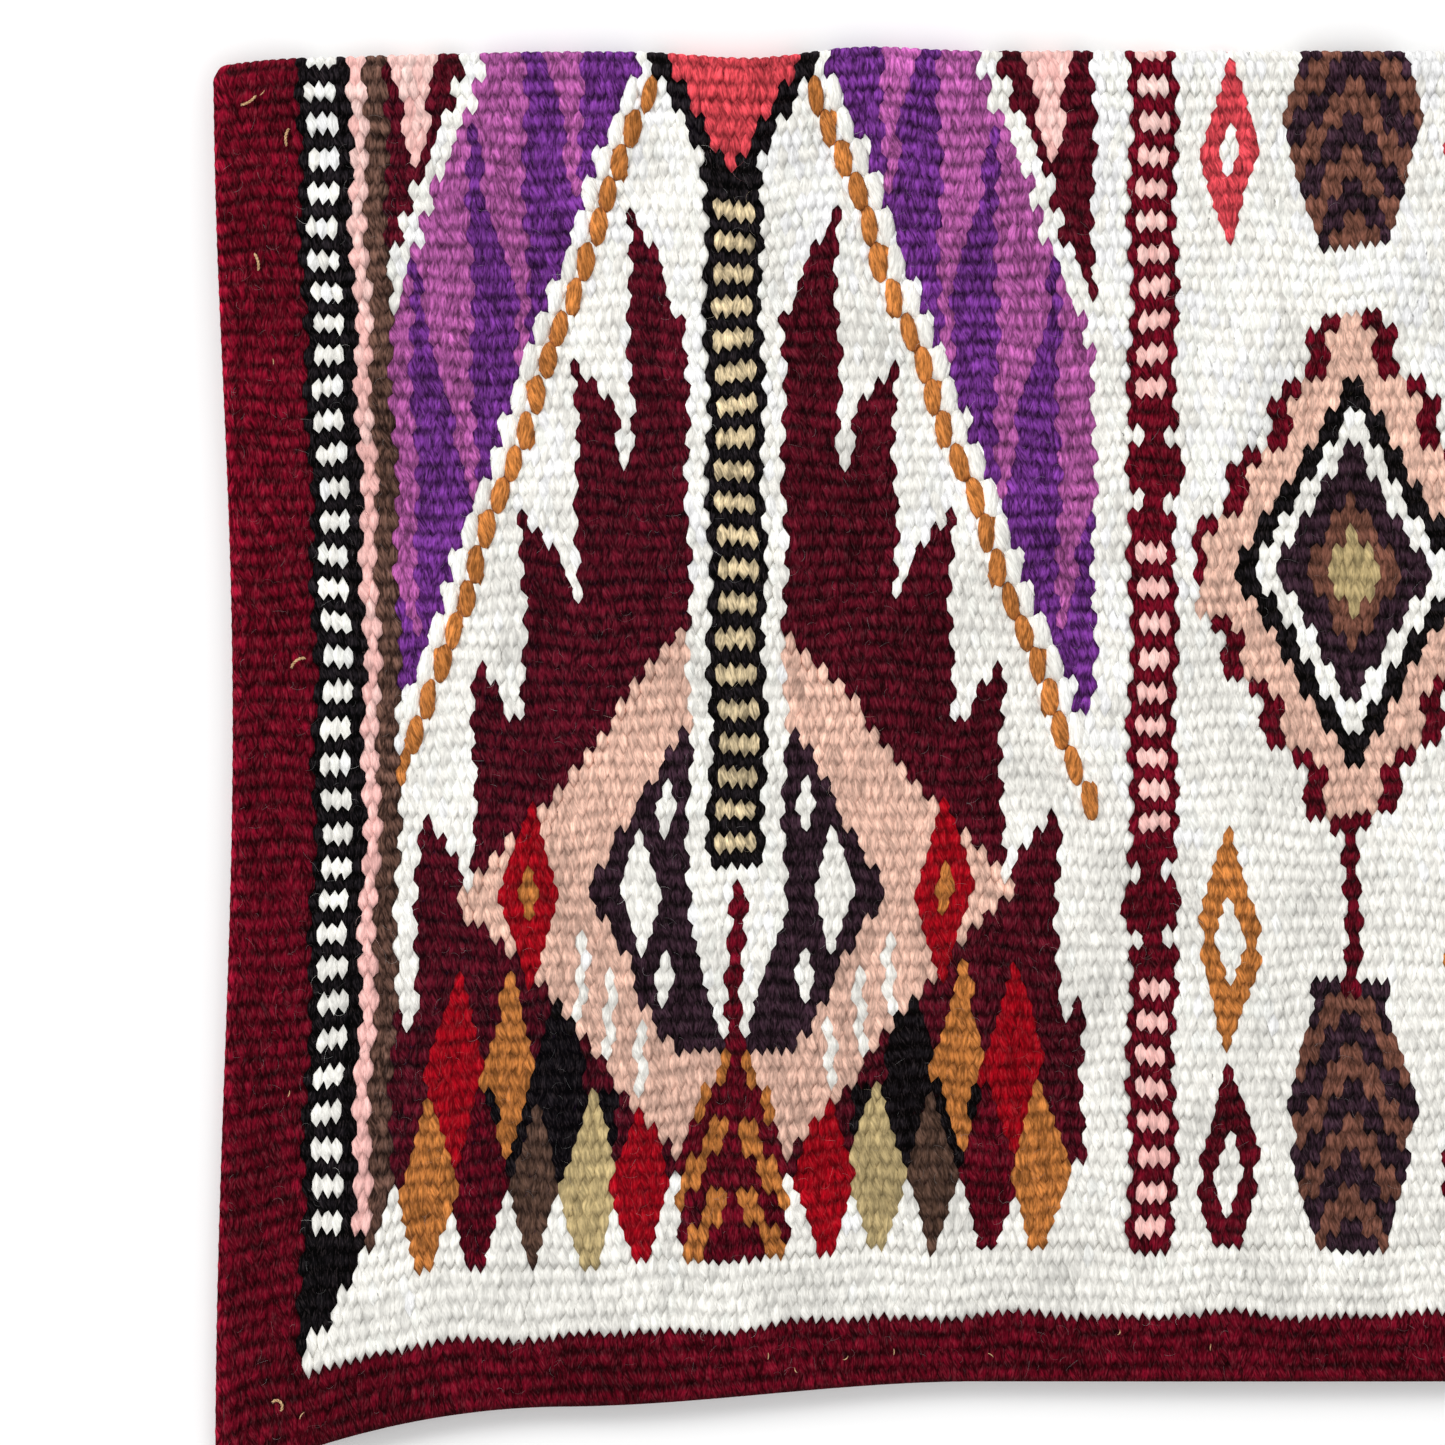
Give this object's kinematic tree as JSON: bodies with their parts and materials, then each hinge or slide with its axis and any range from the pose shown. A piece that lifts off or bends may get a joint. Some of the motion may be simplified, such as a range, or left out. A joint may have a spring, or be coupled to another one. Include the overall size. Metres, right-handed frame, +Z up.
{
  "type": "saddle blanket",
  "caption": "Thick handwoven wool saddle blanket with banded borders and diamonds, folded in half along its spine; two coupled hinge lines at the fold let it open flat.",
  "frame": {"origin": "middle of the blanket's footprint, on the surface that it lies on", "axes": "+X along the spine, from the pictured left edge to the right, +Y towards the fold, +Z up"},
  "size_m": [0.8636, 0.5426, 0.0223],
  "materials": {
    "burgundy_wool": "matt handwoven wool",
    "black_wool": "matt handwoven wool",
    "pink_wool": "matt handwoven wool",
    "brown_wool": "matt handwoven wool",
    "purple_wool": "matt handwoven wool",
    "wine_wool": "matt handwoven wool",
    "peach_wool": "matt handwoven wool",
    "white_wool": "matt handwoven wool",
    "khaki_wool": "matt handwoven wool",
    "aubergine_wool": "matt handwoven wool",
    "straw_warp": "stiff plied warp yarn, slightly shiny"
  },
  "bodies": {
    "off_side": {"off_border_left": "burgundy_wool", "off_border_right": "burgundy_wool", "off_black_ladder_left": "black_wool", "off_black_ladder_right": "black_wool", "off_bead_line_left": "pink_wool", "off_bead_line_right": "pink_wool", "off_brown_line_left": "brown_wool", "off_brown_line_right": "brown_wool", "off_outer_field_left": "purple_wool", "off_outer_field_right": "purple_wool", "off_tan_ladder_left": "black_wool", "off_tan_ladder_right": "black_wool", "off_peach_diamond_left": "peach_wool", "off_peach_diamond_right": "peach_wool", "off_diamond_stalk_left": "wine_wool", "off_diamond_stalk_right": "wine_wool", "off_middle_field_left": "wine_wool", "off_middle_field_right": "wine_wool", "off_pink_ladder_left": "pink_wool", "off_pink_ladder_right": "pink_wool", "off_centre_field_top": "white_wool", "off_centre_field_foot": "white_wool", "off_centre_diamond": "khaki_wool", "off_hem_band": "white_wool", "off_hem_border": "burgundy_wool"},
    "fold_spine": {"fold_strip": "aubergine_wool"},
    "near_side": {"near_border_left": "burgundy_wool", "near_border_right": "burgundy_wool", "near_black_ladder_left": "black_wool", "near_black_ladder_right": "black_wool", "near_bead_line_left": "pink_wool", "near_bead_line_right": "pink_wool", "near_brown_line_left": "brown_wool", "near_brown_line_right": "brown_wool", "near_outer_field_left": "purple_wool", "near_outer_field_right": "purple_wool", "near_tan_ladder_left": "black_wool", "near_tan_ladder_right": "black_wool", "near_peach_diamond_left": "peach_wool", "near_peach_diamond_right": "peach_wool", "near_diamond_stalk_left": "wine_wool", "near_diamond_stalk_right": "wine_wool", "near_middle_field_left": "wine_wool", "near_middle_field_right": "wine_wool", "near_pink_ladder_left": "pink_wool", "near_pink_ladder_right": "pink_wool", "near_centre_field_top": "white_wool", "near_centre_field_foot": "white_wool", "near_centre_diamond": "khaki_wool", "near_hem_band": "white_wool", "near_hem_border": "burgundy_wool", "near_warp_end_1": "straw_warp", "near_warp_end_2": "straw_warp", "near_warp_end_3": "straw_warp", "near_warp_end_4": "straw_warp", "near_warp_end_5": "straw_warp"}
  },
  "joints": [
    {"name": "fold_hinge_1", "type": "hinge", "parent": "off_side", "child": "fold_spine", "pos_m": [0, 0.26696, 0.00452], "axis": [-1, 0, 0], "range_deg": [0, 90.41]},
    {"name": "fold_hinge_2", "type": "hinge", "parent": "fold_spine", "child": "near_side", "pos_m": [0, 0.26688, 0.01556], "axis": [-1, 0, 0], "range_deg": [0, 90.41]}
  ],
  "couplings": [
    {"joint": "fold_hinge_2", "follows": "fold_hinge_1", "ratio": 1}
  ]
}
